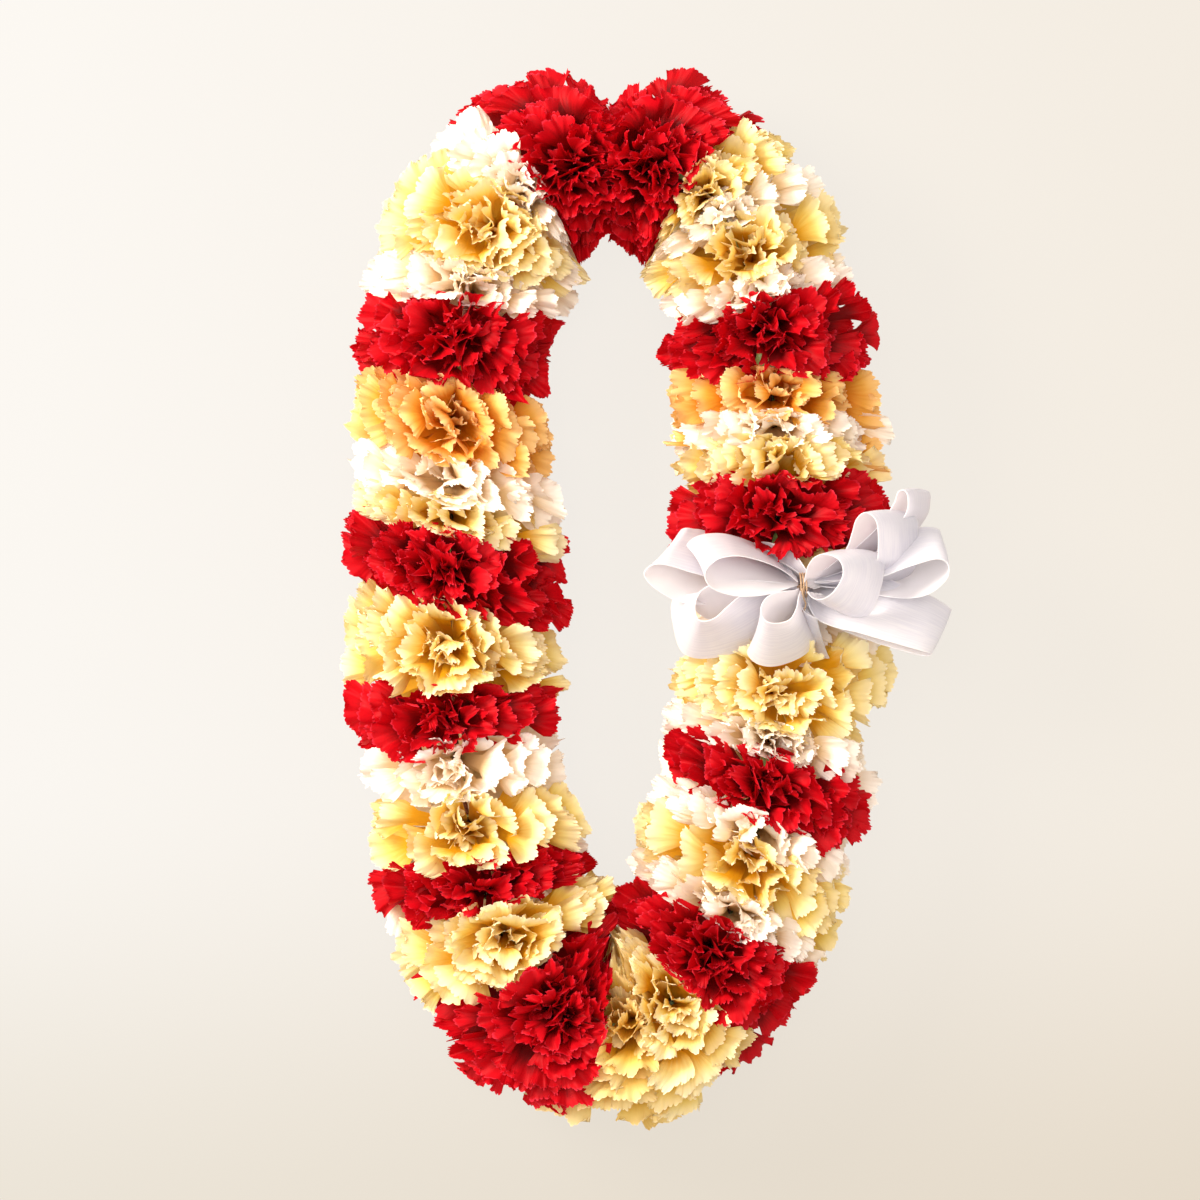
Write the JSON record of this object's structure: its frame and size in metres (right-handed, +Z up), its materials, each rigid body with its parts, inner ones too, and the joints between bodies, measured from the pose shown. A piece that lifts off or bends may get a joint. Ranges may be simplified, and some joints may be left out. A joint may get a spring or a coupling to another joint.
{
  "type": "fresh flower lei",
  "caption": "Double carnation lei in red, yellow and white bands round one string, with a white satin ribbon bow tied to one side, laid flat.",
  "frame": {"origin": "on the surface that the lei lies on, under the middle of its box", "axes": "+Z up out of the surface, +Y along the lei's long way towards the end with the string's knot, +X towards the side with the bow"},
  "size_m": [0.2808, 0.5016, 0.1322],
  "materials": {
    "petal_red": "matte",
    "petal_golden": "matte",
    "petal_yellow": "matte",
    "petal_cream": "matte",
    "petal_white": "matte",
    "string_cotton": "matte",
    "ribbon_satin": "satin",
    "tie_wire": "satin"
  },
  "bodies": {
    "root": {"front_01_red": "petal_red", "front_02_white": "petal_white", "front_03_yellow": "petal_yellow", "front_04_white": "petal_white", "front_05_red": "petal_red", "front_06_golden": "petal_golden", "front_07_white": "petal_white", "front_08_yellow": "petal_yellow", "front_09_red": "petal_red", "front_10_yellow": "petal_yellow", "front_11_red": "petal_red", "front_12_white": "petal_white", "front_13_yellow": "petal_yellow", "front_14_red": "petal_red", "front_15_yellow": "petal_yellow", "front_16_red": "petal_red", "front_17_cream": "petal_cream", "front_18_yellow": "petal_yellow", "front_19_red": "petal_red", "front_20_white": "petal_white", "front_21_yellow": "petal_yellow", "front_22_white": "petal_white", "front_23_red": "petal_red", "front_24_white": "petal_white", "front_25_yellow": "petal_yellow", "front_26_white": "petal_white", "front_27_cream": "petal_cream", "front_28_red": "petal_red", "front_29_yellow": "petal_yellow", "front_30_white": "petal_white", "front_31_golden": "petal_golden", "front_32_red": "petal_red", "front_33_white": "petal_white", "front_34_yellow": "petal_yellow", "front_35_white": "petal_white", "front_36_yellow": "petal_yellow", "front_37_red": "petal_red", "back_01_red": "petal_red", "back_02_white": "petal_white", "back_03_red": "petal_red", "back_04_golden": "petal_golden", "back_05_red": "petal_red", "back_06_yellow": "petal_yellow", "back_07_white": "petal_white", "back_08_white": "petal_white", "back_09_red": "petal_red", "back_10_cream": "petal_cream", "back_11_red": "petal_red", "back_12_yellow": "petal_yellow", "back_13_white": "petal_white", "back_14_yellow": "petal_yellow", "back_15_red": "petal_red", "back_16_golden": "petal_golden", "back_17_red": "petal_red", "back_18_yellow": "petal_yellow", "back_19_red": "petal_red", "string": "string_cotton", "satin_bow": "ribbon_satin", "bow_wire": "tie_wire"}
  },
  "joints": []
}
